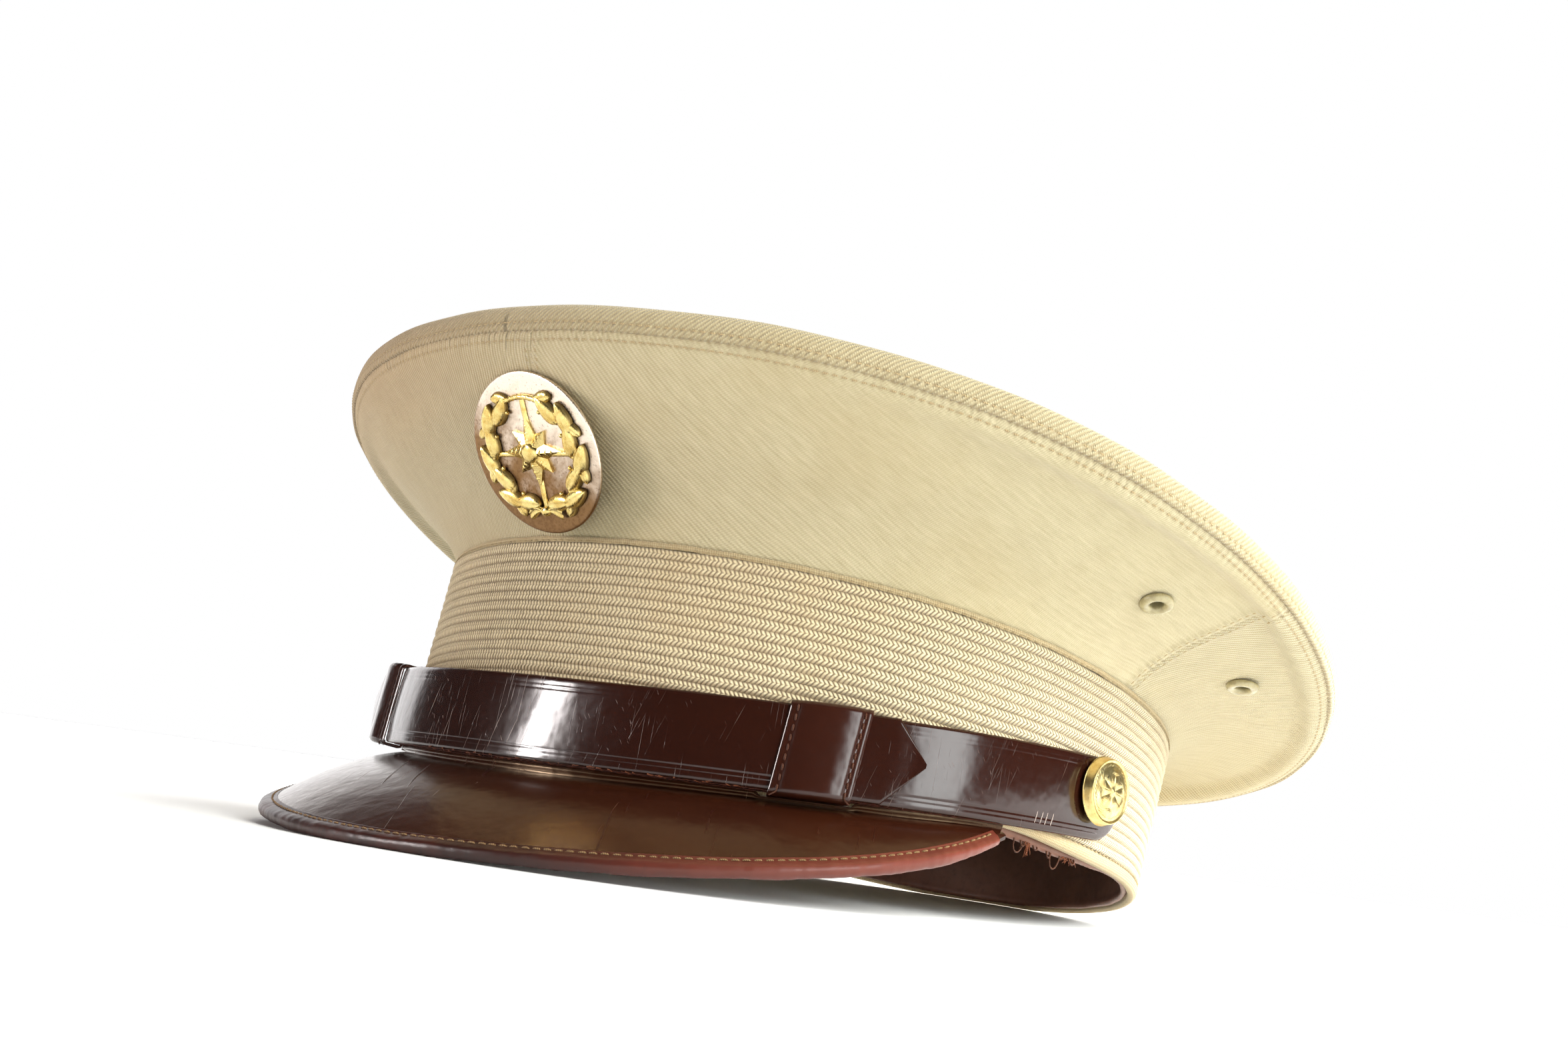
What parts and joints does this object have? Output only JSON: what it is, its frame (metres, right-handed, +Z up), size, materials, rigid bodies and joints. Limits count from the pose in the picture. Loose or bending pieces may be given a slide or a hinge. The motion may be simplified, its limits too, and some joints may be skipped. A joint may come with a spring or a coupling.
{
  "type": "peaked cap",
  "caption": "Peaked cap with a wide oval crown, ribbed cloth band, stiff leather visor with sewn binding, two-part chin strap with keepers and side buttons, and a round front badge.",
  "frame": {"origin": "centre of the cap's bounding box in plan, on the surface that it rests on", "axes": "+Z up, -Y out through the front badge and over the visor, +X towards the wearer's left"},
  "size_m": [0.2696, 0.2722, 0.12],
  "materials": {
    "twill": "fine cotton twill, khaki, pressed",
    "braid": "ribbed mohair-type braid, khaki",
    "sweatband": "plain brown leather, matt",
    "visor": "polished dark brown leather, creased",
    "binding": "red-brown leather strip, worn",
    "strap": "glossy dark reddish-brown leather with embossed edge lines",
    "gilt": "gilt brass, a little tarnished",
    "badge_plate": "tarnished brass sheet",
    "eyelet": "khaki paint, satin"
  },
  "bodies": {
    "root": {"crown_top": "twill", "quarter_front_left": "twill", "quarter_front_right": "twill", "quarter_back_left": "twill", "quarter_back_right": "twill", "band": "braid", "sweatband": "sweatband", "visor": "visor", "visor_binding": "binding", "strap_outer": "strap", "strap_inner": "strap", "keeper_left": "strap", "keeper_right": "strap", "button_left": "gilt", "button_right": "gilt", "badge_disc": "badge_plate", "badge_emblem": "gilt", "eyelet_left_front": "eyelet", "eyelet_left_back": "eyelet", "eyelet_right_front": "eyelet", "eyelet_right_back": "eyelet"}
  },
  "joints": []
}
